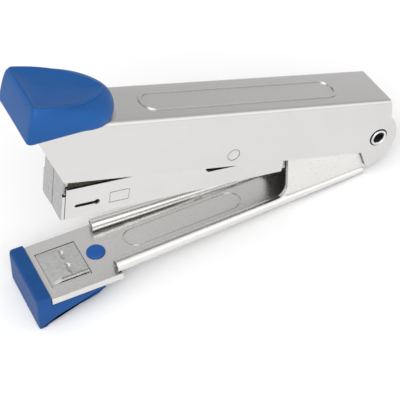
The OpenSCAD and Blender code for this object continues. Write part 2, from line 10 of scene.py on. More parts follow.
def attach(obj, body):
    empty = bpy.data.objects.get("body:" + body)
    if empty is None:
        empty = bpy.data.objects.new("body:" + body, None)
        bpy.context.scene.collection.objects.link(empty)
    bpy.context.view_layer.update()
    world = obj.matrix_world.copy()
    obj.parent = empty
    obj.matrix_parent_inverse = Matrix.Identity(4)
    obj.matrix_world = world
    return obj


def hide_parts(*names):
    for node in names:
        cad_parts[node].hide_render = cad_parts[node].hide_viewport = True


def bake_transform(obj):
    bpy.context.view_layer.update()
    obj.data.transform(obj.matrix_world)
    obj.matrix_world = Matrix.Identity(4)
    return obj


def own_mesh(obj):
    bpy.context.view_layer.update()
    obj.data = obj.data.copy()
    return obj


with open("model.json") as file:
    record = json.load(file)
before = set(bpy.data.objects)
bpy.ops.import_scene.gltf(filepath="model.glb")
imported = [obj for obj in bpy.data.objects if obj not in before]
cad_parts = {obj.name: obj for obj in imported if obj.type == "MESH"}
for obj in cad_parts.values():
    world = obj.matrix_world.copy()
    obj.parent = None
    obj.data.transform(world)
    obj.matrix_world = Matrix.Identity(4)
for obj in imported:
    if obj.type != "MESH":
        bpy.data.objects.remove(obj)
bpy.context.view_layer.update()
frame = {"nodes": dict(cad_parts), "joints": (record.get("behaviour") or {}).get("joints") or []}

NODES = frame["nodes"]
JOINTS = {j["name"]: j for j in frame["joints"]}
HINGE = Vector(JOINTS["magazine_hinge"]["pos_m"])
MM = 0.001


# ---- frames of the bodies: origin on the hinge, x to the front, y to the near side, z up ----

def body_frame(pitch):
    """Matrix from a body's own frame to the row frame."""
    c, s = math.cos(pitch), math.sin(pitch)
    return Matrix.Translation(HINGE) @ Matrix(((-c, 0, s), (0, -1, 0), (s, 0, c))).to_4x4()


def slope_of(node):
    """Pitch of a node's longest straight stretch, from the normals of its largest flat faces."""
    mesh = NODES[node].data
    flat = {}
    for face in mesh.polygons:
        n = face.normal
        if abs(n.y) < 0.001 and n.z > 0.8:
            key = round(math.atan2(n.x, n.z), 4)
            flat[key] = flat.get(key, 0) + face.area
    return max(flat, key=flat.get)


BASE_PITCH = slope_of("anvil_plate")
MAG_PITCH = slope_of("staple_strip")
HANDLE_PITCH = slope_of("handle_cover")
BASE = body_frame(BASE_PITCH)
MAG = body_frame(MAG_PITCH)
HANDLE = body_frame(HANDLE_PITCH)


def local_box(node, body):
    """Lowest and highest corner of a CAD node in a body's own frame."""
    back = body.inverted()
    points = [back @ v.co for v in NODES[node].data.vertices]
    low = Vector([min(p[i] for p in points) for i in range(3)])
    high = Vector([max(p[i] for p in points) for i in range(3)])
    return low, high


# ---- camera, floor and light ----

# Height of the sky (0 level, 1 overhead) and its grey, on the far and the near side
FAR_SKY = ((0.0, 0.8), (0.25, 0.66), (0.42, 0.52), (0.6, 0.56), (0.8, 0.72), (1.0, 0.95))
NEAR_SKY = ((0.0, 0.8), (0.12, 1.0), (0.25, 1.35), (0.7, 1.3), (1.0, 0.95))


def make_camera():
    """A long lens on the near side, ahead of and above the stapler, rolled a little."""
    azimuth, elevation, roll = math.radians(31.3), math.radians(37.3), math.radians(8.2)
    distance, aim_right, aim_down = 275.7 * MM, 1.3 * MM, 9.7 * MM
    back = Vector((math.sin(azimuth) * math.cos(elevation),
                   math.cos(azimuth) * math.cos(elevation), math.sin(elevation)))
    turn = MAG.to_3x3()
    back = turn @ back
    level = (-back).cross(turn @ Vector((0, 0, 1))).normalized()
    right = Matrix.Rotation(roll, 3, back) @ level
    middle = MAG @ Vector((45 * MM, 0, 0))
    place = middle + back * distance
    aim = middle + right * aim_right - back.cross(right) * aim_down
    look = (place - aim).normalized()
    right = (right - look * right.dot(look)).normalized()
    data = bpy.data.cameras.new("camera")
    data.lens = 111.3
    data.sensor_width = 36
    data.clip_start, data.clip_end = 0.01, 20
    camera = bpy.data.objects.new("camera", data)
    bpy.context.scene.collection.objects.link(camera)
    camera.matrix_world = Matrix.Translation(place) @ Matrix(
        (right, look.cross(right), look)).transposed().to_4x4()
    bpy.context.scene.camera = camera


def area_light(name, place, aim, size, power):
    data = bpy.data.lights.new(name, "AREA")
    data.shape = "RECTANGLE"
    data.size, data.size_y = size
    data.energy = power
    lamp = bpy.data.objects.new(name, data)
    bpy.context.scene.collection.objects.link(lamp)
    lamp.location = place
    lamp.rotation_euler = (Vector(aim) - Vector(place)).to_track_quat("-Z", "Y").to_euler()


def make_world():
    """Pale studio, bright on the near side and greyer on the far side, where level steel looks."""
    world = bpy.data.worlds.new("studio")
    bpy.context.scene.world = world
    world.use_nodes = True
    tree = world.node_tree
    tree.nodes.clear()
    out = tree.nodes.new("ShaderNodeOutputWorld")
    light = tree.nodes.new("ShaderNodeBackground")
    split = tree.nodes.new("ShaderNodeSeparateXYZ")
    place = tree.nodes.new("ShaderNodeTexCoord")
    side = tree.nodes.new("ShaderNodeMapRange")
    both = tree.nodes.new("ShaderNodeMix")
    both.data_type = "RGBA"
    tree.links.new(place.outputs["Generated"], split.inputs[0])
    for key, number in (("From Min", -0.45), ("From Max", 0.1), ("To Min", 1), ("To Max", 0)):
        side.inputs[key].default_value = number
    tree.links.new(split.outputs["Y"], side.inputs["Value"])
    tree.links.new(side.outputs["Result"], both.inputs["Factor"])
    for socket, stops in (("A", FAR_SKY), ("B", NEAR_SKY)):
        ramp = tree.nodes.new("ShaderNodeValToRGB")
        tree.links.new(split.outputs["Z"], ramp.inputs[0])
        tree.links.new(ramp.outputs[0], both.inputs[socket])
        ends = ramp.color_ramp.elements
        ends[0].position, ends[0].color = stops[0][0], (*[stops[0][1]] * 3, 1)
        ends[1].position, ends[1].color = stops[-1][0], (*[stops[-1][1]] * 3, 1)
        for at, grey in stops[1:-1]:
            ends.new(at).color = (grey, grey, grey, 1)
    tree.links.new(both.outputs["Result"], light.inputs["Color"])
    tree.links.new(light.outputs[0], out.inputs[0])
    light.inputs["Strength"].default_value = 1.0


def make_stage():
    mesh = bpy.data.meshes.new("floor")
    side = 3.0
    mesh.from_pydata([(-side, -side, 0), (side, -side, 0), (side, side, 0), (-side, side, 0)],
                     [], [(0, 1, 2, 3)])
    floor = bpy.data.objects.new("floor", mesh)
    bpy.context.scene.collection.objects.link(floor)
    material = bpy.data.materials.new("floor_paint")
    material.use_nodes = True
    shader = material.node_tree.nodes["Principled BSDF"]
    shader.inputs["Base Color"].default_value = (0.9, 0.9, 0.9, 1)
    shader.inputs["Roughness"].default_value = 0.9
    shader.inputs["Specular IOR Level"].default_value = 0.1
    mesh.materials.append(material)
    area_light("key", (-0.25, -0.7, 0.75), (0, 0, 0.02), (0.9, 0.6), 4.5)
    area_light("fill", (-0.8, 0.3, 0.7), (0, 0, 0.02), (0.6, 0.6), 1.2)


make_camera()
make_world()
make_stage()
bpy.context.scene.view_settings.view_transform = "Standard"


# ---- materials ----

class Shading:
    """A Principled material with short calls for the nodes that it needs."""

    def __init__(self, name, colour, rough, metallic=0.0):
        self.material = bpy.data.materials.new(name)
        self.material.use_nodes = True
        self.tree = self.material.node_tree
        self.shader = self.tree.nodes["Principled BSDF"]
        self.set("Base Color", (*colour, 1))
        self.set("Roughness", rough)
        self.set("Metallic", metallic)

    def set(self, socket, value):
        self.shader.inputs[socket].default_value = value

    def link(self, a, b):
        self.tree.links.new(a, b)

    def node(self, kind, **values):
        node = self.tree.nodes.new(kind)
        for key, value in values.items():
            setattr(node, key, value)
        return node

    def place(self, scale, pitch=0.0):
        """Object coordinates turned into a body's frame and scaled, so that grain can run along it."""
        coords = self.node("ShaderNodeTexCoord")
        turn = self.node("ShaderNodeMapping")
        turn.inputs["Rotation"].default_value = (0, pitch, 0)
        stretch = self.node("ShaderNodeMapping")
        stretch.inputs["Scale"].default_value = scale
        self.link(coords.outputs["Object"], turn.inputs["Vector"])
        self.link(turn.outputs[0], stretch.inputs["Vector"])
        return stretch.outputs[0]

    def noise(self, where, scale=1.0, detail=2.0, rough=0.5):
        node = self.node("ShaderNodeTexNoise")
        node.inputs["Scale"].default_value = scale
        node.inputs["Detail"].default_value = detail
        node.inputs["Roughness"].default_value = rough
        self.link(where, node.inputs["Vector"])
        return node.outputs["Fac"]

    def span(self, value, low, high, start=0.3, stop=0.7):
        """Maps a value from start..stop to low..high."""
        node = self.node("ShaderNodeMapRange")
        self.link(value, node.inputs["Value"])
        for key, number in (("From Min", start), ("From Max", stop), ("To Min", low), ("To Max", high)):
            node.inputs[key].default_value = number
        return node.outputs["Result"]

    def mix(self, factor, low, high):
        node = self.node("ShaderNodeMix", data_type="RGBA")
        self.link(factor, node.inputs["Factor"])
        node.inputs["A"].default_value = (*low, 1)
        node.inputs["B"].default_value = (*high, 1)
        return node.outputs["Result"]

    def math(self, kind, a, b):
        node = self.node("ShaderNodeMath", operation=kind)
        for i, value in enumerate((a, b)):
            if isinstance(value, (int, float)):
                node.inputs[i].default_value = value
            else:
                self.link(value, node.inputs[i])
        return node.outputs[0]

    def crevice_painted_shade(self, reach, darkest):
        """Painted shade: 1 in the open, down to darkest where other faces stand close by."""
        node = self.node("ShaderNodeAmbientOcclusion", samples=8)
        node.inputs["Distance"].default_value = reach
        return self.span(node.outputs["AO"], darkest, 1.0, 0.25, 0.85)

    def dim(self, colour, factor):
        """A colour socket times a factor socket."""
        node = self.node("ShaderNodeVectorMath", operation="SCALE")
        self.link(colour, node.inputs[0])
        self.link(factor, node.inputs["Scale"])
        return node.outputs[0]

    def ring_painted_shade(self, ring, width, darkest):
        """Painted shade: dark on a thin circle drawn on the handle's sides round (x, z) of its frame, 1
        elsewhere, standing for the shade along the dimple's rim.
        """
        x, z, radius = ring
        middle = HANDLE @ Vector((x, 0, z))
        coords = self.node("ShaderNodeTexCoord")
        flat = self.node("ShaderNodeVectorMath", operation="MULTIPLY")
        flat.inputs[1].default_value = (1, 0, 1)
        away = self.node("ShaderNodeVectorMath", operation="DISTANCE")
        away.inputs[1].default_value = (middle.x, 0, middle.z)
        self.link(coords.outputs["Object"], flat.inputs[0])
        self.link(flat.outputs[0], away.inputs[0])
        off = self.math("ABSOLUTE", self.math("SUBTRACT", away.outputs["Value"], radius), 0)
        return self.span(off, darkest, 1.0, width * 0.3, width)

    def bump(self, height, distance, strength=1.0):
        node = self.node("ShaderNodeBump")
        node.inputs["Distance"].default_value = distance
        node.inputs["Strength"].default_value = strength
        self.link(height, node.inputs["Height"])
        self.link(node.outputs[0], self.shader.inputs["Normal"])


def shade(colour, factor):
    return tuple(c * factor for c in colour)


def plated_sheet(name, colour, rough, pitch, dimple=None):
    """Bright plated sheet: rolling grain along the part, faint blotches and fine scratches, with painted
    shade in crevices and, given a dimple, a painted shade ring round it.
    """
    s = Shading(name, colour, rough, 1.0)
    lines = s.noise(s.place((25, 1500, 1500), pitch), 1.0, 3.0, 0.6)
    cloud = s.noise(s.place((140, 140, 140), pitch), 1.0, 3.0)
    wear = s.noise(s.place((900, 1300, 1300), pitch), 1.0, 2.0)
    tone = s.math("ADD", s.math("MULTIPLY", cloud, 0.7), s.math("MULTIPLY", lines, 0.3))
    # Painted shade: the colour is darkened where other faces stand close by
    surface = s.dim(s.mix(s.span(tone, 0, 1), shade(colour, 0.96), colour), s.crevice_painted_shade(1.6 * MM, 0.35))
    # Painted shade: a dark ring round the dimple's rim
    if dimple:
        surface = s.dim(surface, s.ring_painted_shade(dimple, 0.13 * MM, 0.25))
    s.link(surface, s.shader.inputs["Base Color"])
    streak = s.math("ADD", s.math("MULTIPLY", lines, 0.5), s.math("MULTIPLY", wear, 0.5))
    s.link(s.span(streak, rough * 0.93, rough * 1.1), s.shader.inputs["Roughness"])
    s.bump(lines, 0.001 * MM, 0.1)
    return s.material


def turned_metal(name, colour, rough):
    """Small plated or bare piece: fine even grain and a few dull spots, with painted shade in crevices."""
    s = Shading(name, colour, rough, 1.0)
    grain = s.noise(s.place((3500, 3500, 3500)), 1.0, 2.0)
    spots = s.noise(s.place((1100, 1100, 1100)), 1.0, 3.0)
    # Painted shade: the colour is darkened where other faces stand close by
    s.link(s.dim(s.mix(s.span(spots, 0, 1), shade(colour, 0.82), colour), s.crevice_painted_shade(1.2 * MM, 0.3)),
           s.shader.inputs["Base Color"])
    s.link(s.span(spots, rough * 1.3, rough * 0.8), s.shader.inputs["Roughness"])
    s.bump(grain, 0.001 * MM, 0.15)
    return s.material


def moulded_plastic(name, colour, rough, pitch):
    """Satin moulded plastic: a fine spark texture, faint flow marks and slightly rubbed tone, with painted
    shade in crevices.
    """
    s = Shading(name, colour, rough)
    grain = s.noise(s.place((9000, 9000, 9000)), 1.0, 2.0)
    flow = s.noise(s.place((90, 260, 260), pitch), 1.0, 3.0)
    # Painted shade: the colour is darkened where other faces stand close by
    s.link(s.dim(s.mix(s.span(flow, 0, 1), shade(colour, 0.9), shade(colour, 1.08)),
                 s.crevice_painted_shade(1.2 * MM, 0.55)), s.shader.inputs["Base Color"])
    s.link(s.span(grain, rough * 0.85, rough * 1.15), s.shader.inputs["Roughness"])
    s.set("Specular IOR Level", 0.2)
    s.bump(grain, 0.004 * MM, 0.5)
    return s.material


# Middle (x, z) and radius of the round dimple in the handle's sides, in the handle's frame, where a ring of
# painted shade is drawn
DIMPLE = (39.4 * MM, -1.0 * MM, 1.45 * MM)
MATERIALS = {
    "base_steel": plated_sheet("base_steel", (0.78, 0.77, 0.755), 0.26, -BASE_PITCH),
    "magazine_plate": plated_sheet("magazine_plate", (0.70, 0.69, 0.68), 0.22, -MAG_PITCH),
    "handle_plate": plated_sheet("handle_plate", (0.69, 0.675, 0.67), 0.24, -HANDLE_PITCH,
                                 dimple=DIMPLE),
    # Painted highlight: a lighter steel for the bevelled edges
    "painted_edge_highlight": turned_metal("painted_edge_highlight", (0.93, 0.93, 0.93), 0.16),
    # Painted shade: a darker copy of the steel for the magazine's front flanges
    "flange_painted_shade": turned_metal("flange_painted_shade", (0.43, 0.425, 0.43), 0.22),
    "seam_shadow": turned_metal("seam_shadow", (0.02, 0.02, 0.02), 0.5),
    # Painted shade: a darker copy of the steel for the handle's inside
    "inner_painted_shade": turned_metal("inner_painted_shade", (0.36, 0.36, 0.37), 0.35),
    "bare_steel": turned_metal("bare_steel", (0.74, 0.735, 0.73), 0.24),
    "rivet_plate": turned_metal("rivet_plate", (0.78, 0.78, 0.79), 0.18),
    "oiled_steel": turned_metal("oiled_steel", (0.13, 0.13, 0.14), 0.35),
    "spring_wire": turned_metal("spring_wire", (0.36, 0.36, 0.38), 0.3),
    "staple_zinc": turned_metal("staple_zinc", (0.80, 0.72, 0.55), 0.3),
    "cap_blue": moulded_plastic("cap_blue", (0.007, 0.078, 0.27), 0.45, -HANDLE_PITCH),
    "shoe_blue": moulded_plastic("shoe_blue", (0.007, 0.062, 0.22), 0.5, -BASE_PITCH),
    "plug_blue": moulded_plastic("plug_blue", (0.012, 0.085, 0.33), 0.3, -BASE_PITCH),
}


def paint_cad(node, material, bevel, edge="painted_edge_highlight"):
    """Gives a CAD node its material, and rounds its cut edges, whose bevels take the edge material: by
    default a lighter steel as a painted highlight.
    """
    thing = NODES[node]
    thing.data.materials.clear()
    thing.data.materials.append(MATERIALS[material])
    thing.data.materials.append(MATERIALS[edge])
    bevelled(thing, bevel)


def bevelled(thing, bevel):
    """Merges the CAD's doubled points and rounds its cut edges in the material of the second slot, mostly the
    painted edge highlight.
    """
    weld = thing.modifiers.new("weld", "WELD")
    weld.merge_threshold = 0.002 * MM
    round_off = thing.modifiers.new("edges", "BEVEL")
    round_off.width = bevel
    round_off.segments = 2
    round_off.limit_method = "ANGLE"
    round_off.angle_limit = math.radians(35)
    round_off.use_clamp_overlap = True
    round_off.harden_normals = True
    round_off.material = 1


def sheet_copy(node, name, frame_matrix, body, materials, bevel, pick):
    """A copy of a sheet-metal node. pick(middle, normal), in the body's frame, gives a face its material."""
    bm = bmesh.new()
    bm.from_mesh(NODES[node].data)
    bmesh.ops.remove_doubles(bm, verts=bm.verts, dist=0.002 * MM)
    bmesh.ops.dissolve_limit(bm, angle_limit=math.radians(0.4), verts=bm.verts, edges=bm.edges)
    for face in bm.faces:
        face.smooth = True
    for edge in bm.edges:
        edge.smooth = not (len(edge.link_faces) == 2
                           and edge.calc_face_angle(0) > math.radians(25))
    mesh = bpy.data.meshes.new(name)
    bm.to_mesh(mesh)
    bm.free()
    for material in materials:
        mesh.materials.append(MATERIALS[material])
    back = frame_matrix.inverted()
    turn = back.to_3x3()
    for face in mesh.polygons:
        face.material_index = pick(back @ face.center / MM, turn @ face.normal)
    thing = bpy.data.objects.new(name, mesh)
    bpy.context.scene.collection.objects.link(thing)
    bevelled(thing, bevel)
    stand_for(thing, node, body)


paint_cad("staple_rail", "bare_steel", 0.06 * MM)
paint_cad("rod_bracket", "bare_steel", 0.05 * MM)
paint_cad("pusher", "bare_steel", 0.08 * MM)
paint_cad("driver_blade", "bare_steel", 0.05 * MM)
paint_cad("rail_rivets", "rivet_plate", 0.05 * MM)
paint_cad("driver_rivets", "rivet_plate", 0.05 * MM)
paint_cad("guide_rod", "rivet_plate", 0.05 * MM)
paint_cad("hinge_bushes", "oiled_steel", 0.04 * MM, edge="oiled_steel")


# ---- meshes drawn in millimetres in a body's own frame ----

class Shape:
    """Vertices and faces gathered in a body's frame, then made into one piece."""

    def __init__(self):
        self.points, self.faces = [], []

    def ring(self, points):
        start = len(self.points)
        self.points += [tuple(p) for p in points]
        return list(range(start, start + len(points)))

    def join(self, a, b, closed=True):
        """Quads between two rings of the same length."""
        count = len(a) if closed else len(a) - 1
        for i in range(count):
            k = (i + 1) % len(a)
            self.faces.append((a[i], a[k], b[k], b[i]))

    def loft(self, rings, closed=True):
        indices = [self.ring(r) for r in rings]
        for a, b in zip(indices, indices[1:]):
            self.join(a, b, closed)
        return indices

    def cap(self, ring):
        self.faces.append(tuple(ring))

    def build(self, name, frame_matrix, material, sharp=38.0):
        mesh = bpy.data.meshes.new(name)
        mesh.from_pydata([frame_matrix @ (Vector(p) * MM) for p in self.points], [], self.faces)
        bm = bmesh.new()
        bm.from_mesh(mesh)
        bmesh.ops.remove_doubles(bm, verts=bm.verts, dist=0.001 * MM)
        bmesh.ops.recalc_face_normals(bm, faces=bm.faces)
        for face in bm.faces:
            face.smooth = True
        for edge in bm.edges:
            if len(edge.link_faces) == 2 and edge.calc_face_angle(0) > math.radians(sharp):
                edge.smooth = False
        bm.to_mesh(mesh)
        bm.free()
        mesh.materials.append(MATERIALS[material])
        thing = bpy.data.objects.new(name, mesh)
        bpy.context.scene.collection.objects.link(thing)
        return thing


def stand_for(thing, node, body):
    """The piece takes the place of a CAD node and moves with its body."""
    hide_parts(node)
    if body:
        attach(thing, body)


def arc(cx, cy, r, start, stop, count):
    """Points on an arc, angles in degrees, both ends in."""
    return [(cx + r * math.cos(math.radians(start + (stop - start) * i / count)),
             cy + r * math.sin(math.radians(start + (stop - start) * i / count)))
            for i in range(count + 1)]


def line(a, b, count):
    """Points from a to b, without b."""
    return [tuple(p + (q - p) * i / count for p, q in zip(a, b)) for i in range(count)]


def tube(shape, path, radius, sides=12, ref=(0, 1, 0)):
    """A round wire along a path, closed with a dome at each end."""
    path = [Vector(p) for p in path]
    rings = []
    for i, p in enumerate(path):
        along = (path[min(i + 1, len(path) - 1)] - path[max(i - 1, 0)]).normalized()
        u = along.cross(Vector(ref)).normalized()
        v = along.cross(u)
        turn = [(math.cos(2 * math.pi * k / sides), math.sin(2 * math.pi * k / sides))
                for k in range(sides)]
        steps = [(0, 1)]
        if i == 0:
            steps = [(-0.5, 0.3), (-0.35, 0.75), (0, 1)]
        elif i == len(path) - 1:
            steps = [(0, 1), (0.35, 0.75), (0.5, 0.3)]
        for push, size in steps:
            rings.append([p + along * push * radius + (u * c + v * s) * radius * size
                          for c, s in turn])
    ends = shape.loft(rings)
    shape.cap(ends[0])
    shape.cap(ends[-1])


def turned(shape, profile, centre, axis, count=72, closed=False):
    """A profile of (radius, height) turned round an axis through centre."""
    up = Vector(axis)
    u = up.orthogonal().normalized()
    v = up.cross(u)
    centre = Vector(centre)
    rings = [[centre + up * h + (u * math.cos(2 * math.pi * k / count)
                                 + v * math.sin(2 * math.pi * k / count)) * r
              for k in range(count)] for r, h in profile]
    if closed:
        rings.append(rings[0])
    ends = shape.loft(rings)
    if not closed:
        shape.cap(ends[0])
        shape.cap(ends[-1])


# ---- thumb cap ----

def millimetres(node, body):
    low, high = local_box(node, body)
    return low / MM, high / MM


def make_cap():
    low, high = millimetres("handle_cap", HANDLE)
    sheet_high = millimetres("handle_cover", HANDLE)[1]
    front, half = high.x, high.y
    seat = sheet_high.z - 0.25
    pocket_y, pocket_x = sheet_high.y + 0.08, sheet_high.x + 0.06
    round_x = low.x + half
    rim_half, rim_front, rim_tip, corner = half - 1.0, front - 0.4, low.x + 2.4, 1.1

    def rim_width(x):
        back = max(0.0, (front - 2.8 - x) / (front - 2.8 - rim_tip))
        return rim_half * max(0.0, 1 - back * back) ** 0.65

    bottom = (line((front, 0), (front, half - corner), 6)
              + arc(front - corner, half - corner, corner, 0, 90, 8)
              + line((front - corner, half), (round_x, half), 12)[1:]
              + arc(round_x, 0, half, 90, 180, 22))
    knee, spine_rear, spine_front = 79.0, 77.0, 84.0
    top = (line((rim_front, 0), (rim_front, rim_half - corner), 6)
           + arc(rim_front - corner, rim_half - corner, corner, 0, 90, 8)
           + [(x, min(rim_half, rim_width(x))) for x in
              [rim_front - corner + (knee - rim_front + corner) * i / 12 for i in range(1, 12)]]
           + [(x, rim_width(x)) for x in
              [knee - (knee - rim_tip) * math.sin(math.radians(90 * i / 22)) for i in range(23)]])

    def whole(part):
        return part + [(x, -y) for x, y in part[-2:0:-1]]

    bottom, top = whole(bottom), whole(top)
    spine = [(min(max(x, spine_rear), spine_front), 0.0) for x, _ in top]

    def inward(i, points, by):
        (x, y), (cx, cy) = points[i], spine[i]
        away = math.hypot(cx - x, cy - y)
        return x + (cx - x) * by / away, y + (cy - y) * by / away

    def low_z(x):
        return min(low.z + 0.225 * (front - x), seat + 0.04)

    def rim_z(x):
        return high.z - 0.26 - 0.6 * (rim_front - x) / (rim_front - rim_tip)

    count = range(len(bottom))
    pocket = []
    for i in count:
        x, y = inward(i, bottom, 0.7)
        pocket.append((min(x, pocket_x), max(-pocket_y, min(pocket_y, y))))
    rings = [[(*pocket[i], max(seat + 0.06, low_z(bottom[i][0]) + 0.01)) for i in count],
             [(*pocket[i], low_z(bottom[i][0])) for i in count]]
    for by, up in ((0.4, 0.0), (0.12, 0.09), (0.02, 0.25)):
        rings.append([(*inward(i, bottom, by), low_z(bottom[i][0]) + up) for i in count])
    steps = 18
    for k in range(1, steps + 1):
        h = k / steps
        blend = 1 - math.sqrt(1 - max(0.0, (h - 0.25) / 0.75) ** 2)
        ring = []
        for i in count:
            (x, y), (tx, ty) = bottom[i], top[i]
            start = low_z(x) + 0.3
            ring.append((x + (tx - x) * blend, y + (ty - y) * blend,
                         start + (rim_z(tx) - 0.35 - start) * h))
        rings.append(ring)
    for by, up in ((0.05, -0.12), (0.22, 0.04), (0.45, 0.1), (0.75, 0.0), (1.1, -0.16)):
        rings.append([(*inward(i, top, by), rim_z(top[i][0]) + up) for i in count])
    for size in (0.86, 0.7, 0.5, 0.25, 0.0):
        ring = []
        for i in count:
            x, y = inward(i, top, 1.1)
            cx, cy = spine[i]
            ring.append((cx + (x - cx) * size, cy + (y - cy) * size,
                         rim_z(cx + (x - cx) * size) - 0.16 - 0.5 * (1 - size * size)))
        rings.append(ring)
    shape = Shape()
    ends = shape.loft(rings)
    shape.cap(ends[0])
    stand_for(shape.build("thumb_cap", HANDLE, "cap_blue", 50), "handle_cap", "handle")


# ---- shoe, plug and anvil ----

def curve(points, steps=6):
    """A smooth line through the points, both ends in."""
    points = [Vector(p) for p in points]
    padded = [points[0] * 2 - points[1], *points, points[-1] * 2 - points[-2]]
    out = []
    for a, b, c, d in zip(padded, padded[1:], padded[2:], padded[3:]):
        for i in range(steps):
            t = i / steps
            out.append(0.5 * ((2 * b) + (c - a) * t + (2 * a - 5 * b + 4 * c - d) * t * t
                              + (3 * b - a - 3 * c + d) * t ** 3))
    return [tuple(p) for p in out] + [tuple(points[-1])]


def make_shoe():
    low, high = millimetres("base_shoe", BASE)
    plate_high = millimetres("base_frame", BASE)[1]
    nose, rear, lip = high.x, low.x + 3.9, high.z
    seat_x, seat_z = plate_high.x + 0.05, lip - 2.65
    foot = low.z + 0.02
    land = math.tan(BASE_PITCH)
    outline = ([(seat_x, seat_z), (seat_x, lip - 0.45)]
               + arc(seat_x + 0.4, lip - 0.4, 0.4, 180, 90, 5)
               + line((seat_x + 0.6, lip), (nose - 1.3, lip), 4)
               + arc(nose - 1.25, lip - 0.9, 0.9, 90, 8, 8)
               + line((nose - 0.3, lip - 1.3), (nose - 0.02, foot + 0.6), 10)
               + arc(nose - 0.42, foot + 0.42, 0.4, 0, -75, 5)
               + curve([(nose - 0.6, foot + 0.06 + 0.6 * land), (nose - 1.9, foot + 1.9 * land + 0.04),
                        (nose - 2.7, foot + 1.1), (nose - 4.9, foot + 2.3), (nose - 8.4, foot + 3.2),
                        (nose - 11.9, foot + 3.75), (nose - 14.7, foot + 4.6),
                        (rear + 0.2, seat_z - 0.45)])
               + arc(rear + 0.35, seat_z - 0.35, 0.35, 200, 90, 4)
               + line((rear + 0.8, seat_z), (seat_x, seat_z), 10))
    count = len(outline)
    area = sum(outline[i - 1][0] * outline[i][1] - outline[i][0] * outline[i - 1][1] for i in range(count))
    inside = 1 if area < 0 else -1
    normals = []
    for i in range(count):
        ax, az = outline[i - 1]
        bx, bz = outline[(i + 1) % count]
        size = math.hypot(bx - ax, bz - az) or 1
        normals.append((inside * (bz - az) / size, -inside * (bx - ax) / size))

    def section(y, by):
        ring = []
        for (x, z), (nx, nz) in zip(outline, normals):
            ring.append((x + nx * by, y, z + nz * by))
        return ring

    half, r = high.y - 0.03, 0.9
    stations = [(half - r + r * math.sin(math.radians(a)), 0.33 * (1 - math.cos(math.radians(a))))
                for a in (90, 72, 54, 36, 18, 0)]
    rings = [section(y, by) for y, by in stations]
    rings += [section((half - r) * (1 - i / 8), 0) for i in range(1, 16)]
    rings += [section(-y, by) for y, by in reversed(stations)]
    shape = Shape()
    ends = shape.loft(rings)
    shape.cap(ends[0])
    shape.cap(ends[-1])
    # Tongue under the plate
    y, r = 4.55, 0.35
    x0, x1, z0, z1 = low.x + 0.05, rear + 6, seat_z - 0.6, seat_z + 0.75
    loops = []
    for z, by in ((z0, r), (z0 + r, 0), (z1 - r, 0), (z1, r)):
        loops.append([(x, yy, z) for x, yy in
                      arc(x0 + 1.5 + by, y - 1.5 - by, 1.5, 180, 90, 8)
                      + [(x1, y - by), (x1, by - y)]
                      + arc(x0 + 1.5 + by, 1.5 + by - y, 1.5, 270, 180, 8)])
    ends = shape.loft(loops)
    shape.cap(ends[0])
    shape.cap(ends[-1])
    stand_for(shape.build("front_shoe", BASE, "shoe_blue", 45), "base_shoe", "base")


def make_plug():
    low, high = millimetres("shoe_plug", BASE)
    r = (high.y - low.y) / 2
    x, top = low.x + r, high.z
    shape = Shape()
    turned(shape, [(r - 0.95, low.z - top), (r - 0.9, low.z - top + 0.1), (r - 0.9, -0.56), (r - 0.06, -0.52),
                   (r, -0.44), (r - 0.02, -0.3), (r - 0.12, -0.16), (r - 0.3, -0.06), (r - 0.6, -0.01),
                   (r - 0.9, -0.02), (r - 1.3, -0.07), (0.3, -0.1), (0.02, -0.1)], (x, 0, top), (0, 0, 1))
    stand_for(shape.build("round_plug", BASE, "plug_blue", 40), "shoe_plug", "base")


def make_anvil():
    """A thin plate let into the block, and over it a flap folded up at the front, with two dents."""
    low, high = millimetres("anvil_plate", BASE)
    shape = Shape()
    x0, x1, y1 = low.x - 0.27, high.x + 0.27, high.y + 0.27
    level = low.z + 0.45
    corner = 0.5
    loops = []
    for z, by in ((low.z + 0.01, 0), (level - 0.08, 0), (level, 0.08)):
        ring = []
        for cx, cy, start in ((x1 - corner, y1 - corner, 0), (x0 + corner, y1 - corner, 90),
                              (x0 + corner, corner - y1, 180), (x1 - corner, corner - y1, 270)):
            ring += arc(cx, cy, corner - by, start, start + 90, 5)
        loops.append([(x, y, z) for x, y in ring])
    ends = shape.loft(loops)
    shape.cap(ends[0])
    shape.cap(ends[-1])
    # The flap
    top, thick, half = high.z + 0.32, 0.3, y1 - 0.65
    fold, foot = x1 - 3.0, x1 - 0.3
    dent_x, dent_y, dent_long, dent_half = x0 + 4.1, half * 0.45, 1.5, 0.6

    def height(x, y):
        z = top
        if x > fold:
            t = min(1.0, (x - fold) / (foot - fold))
            z -= (top - level - 0.02) * (t * t * (3 - 2 * t))
        edge = max(0.0, abs(y) - half + 0.9) / 0.9
        z -= 0.25 * edge * edge
        for side in (-1, 1):
            u = abs(y - side * dent_y) / dent_long
            v = abs(x - dent_x) / dent_half
            if u < 1.25 and v < 1.6:
                away = max(u ** 4, 0) + v ** 2
                z -= 0.48 * math.exp(-1.9 * away) - 0.08 * math.exp(-8 * (away - 1.5) ** 2)
        return z

    nx, ny = 74, 84
    rows = [[(x0 + 0.25 + (foot - x0 - 0.25) * i / nx, -half + 2 * half * j / ny)
             for j in range(ny + 1)]
            for i in range(nx + 1)]
    upper = shape.loft([[(x, y, height(x, y)) for x, y in row] for row in rows], closed=False)
    lower = shape.loft([[(x, y, max(level - 0.01, height(x, y) - thick)) for x, y in row] for row in rows],
                       closed=False)
    shape.join(upper[0], lower[0], False)
    shape.join(upper[-1], lower[-1], False)
    for j in (0, -1):
        shape.join([row[j] for row in upper], [row[j] for row in lower], False)
    stand_for(shape.build("anvil", BASE, "bare_steel", 45), "anvil_plate", "base")


# ---- hinge rivet, staples and springs ----

